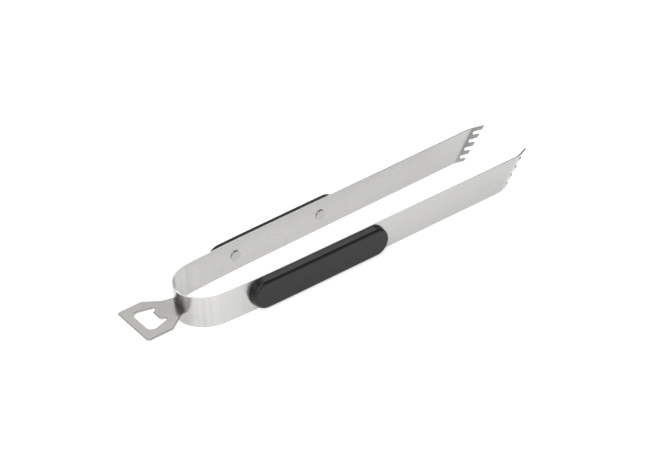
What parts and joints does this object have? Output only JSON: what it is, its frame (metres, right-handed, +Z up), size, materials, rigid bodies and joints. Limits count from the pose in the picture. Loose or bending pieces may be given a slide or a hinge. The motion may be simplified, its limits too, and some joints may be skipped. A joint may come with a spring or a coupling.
{
  "type": "spring loaded kitchen tongs",
  "caption": "Long stainless grill tongs: a bent spring strip with toothed tips, moulded black hand grips and a crown cap bottle opener at the back.",
  "frame": {"origin": "middle of the bounding box, at the height of the strip's lower edges", "axes": "+X towards the toothed tips, +Y to the left arm, +Z up across the strip's height; the tongs stand on the strip's lower edges"},
  "size_m": [0.3865, 0.0742, 0.0288],
  "materials": {
    "steel_strip": "bright rolled stainless, finely brushed along the strip",
    "opener_steel": "tumbled stainless, satin",
    "rivet_steel": "polished",
    "bush_brass": "turned",
    "grip_plastic": "fine satin moulding texture"
  },
  "bodies": {
    "back": {"spring_bend": "steel_strip", "bottle_opener": "opener_steel"},
    "left_side": {"left_arm": "steel_strip", "left_grip": "grip_plastic", "left_rear_rivet": "rivet_steel", "left_front_rivet": "rivet_steel", "left_rear_bush": "bush_brass", "left_front_bush": "bush_brass"},
    "right_side": {"right_arm": "steel_strip", "right_grip": "grip_plastic", "right_rear_rivet": "rivet_steel", "right_front_rivet": "rivet_steel", "right_rear_bush": "bush_brass", "right_front_bush": "bush_brass"}
  },
  "joints": [
    {"name": "left_squeeze", "type": "hinge", "parent": "back", "child": "left_side", "pos_m": [-0.14385, 0.01713, 0.014], "axis": [0, 0, -1], "range_deg": [-1.5, 4.35], "stiffness_Nm_per_rad": 20},
    {"name": "right_squeeze", "type": "hinge", "parent": "back", "child": "right_side", "pos_m": [-0.14385, -0.01713, 0.014], "axis": [0, 0, 1], "range_deg": [-1.5, 4.35], "stiffness_Nm_per_rad": 20}
  ],
  "couplings": [
    {"joint": "right_squeeze", "follows": "left_squeeze", "ratio": 1}
  ]
}
